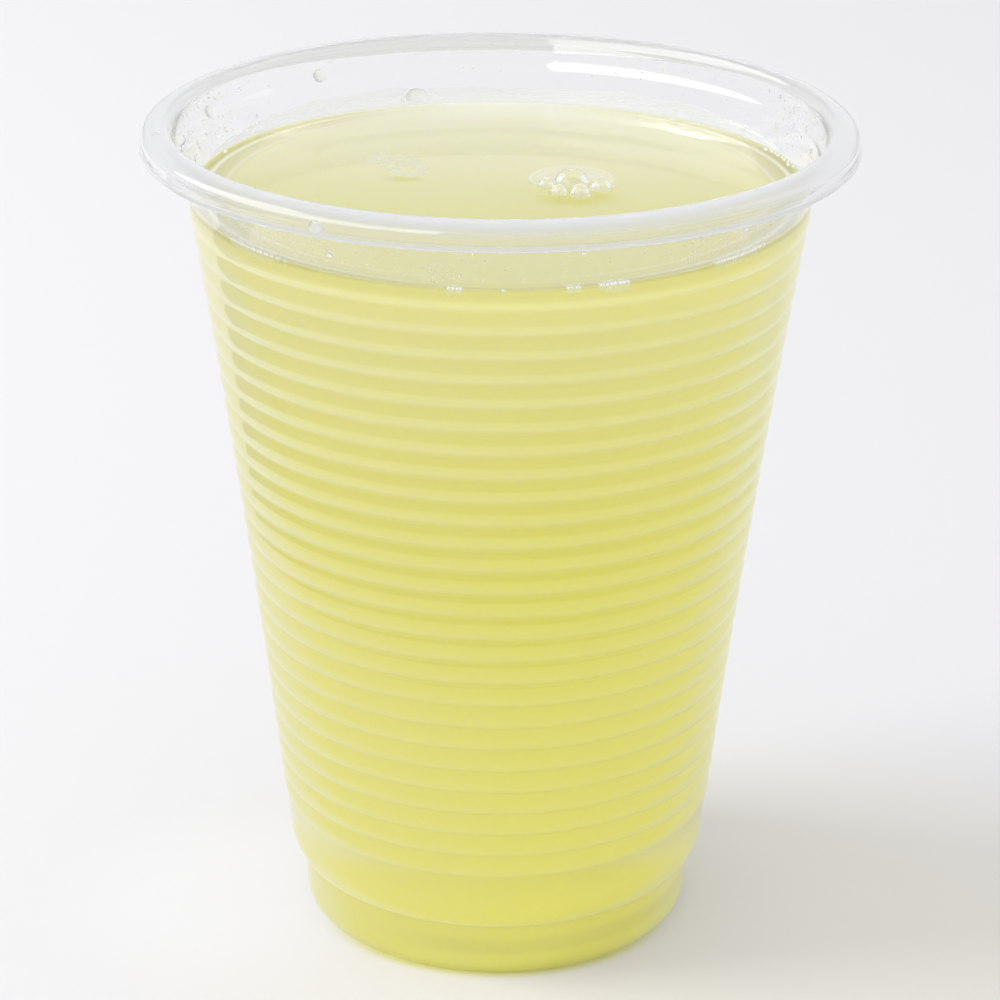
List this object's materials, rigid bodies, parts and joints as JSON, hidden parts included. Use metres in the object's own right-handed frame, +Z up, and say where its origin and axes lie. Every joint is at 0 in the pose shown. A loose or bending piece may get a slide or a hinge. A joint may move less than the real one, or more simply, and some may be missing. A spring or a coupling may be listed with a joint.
{
  "type": "lemonade in a cup",
  "caption": "Cloudy lemonade in a thin clear disposable cup with a ribbed wall, a rolled rim, a stepped foot and a raised floor; a few bubbles float on the drink",
  "frame": {"origin": "centre of the foot ring, on the surface that the cup stands on", "axes": "+Z up along the cup's axis; the shape is turned about it"},
  "size_m": [0.075, 0.075, 0.09],
  "materials": {
    "clear_plastic": "clear, slightly hazy thermoformed polypropylene with a soft gloss",
    "lemonade": "cloudy pale yellow lemonade with a wet, still surface"
  },
  "bodies": {
    "root": {"cup": "clear_plastic", "lemonade": "lemonade"}
  },
  "joints": []
}
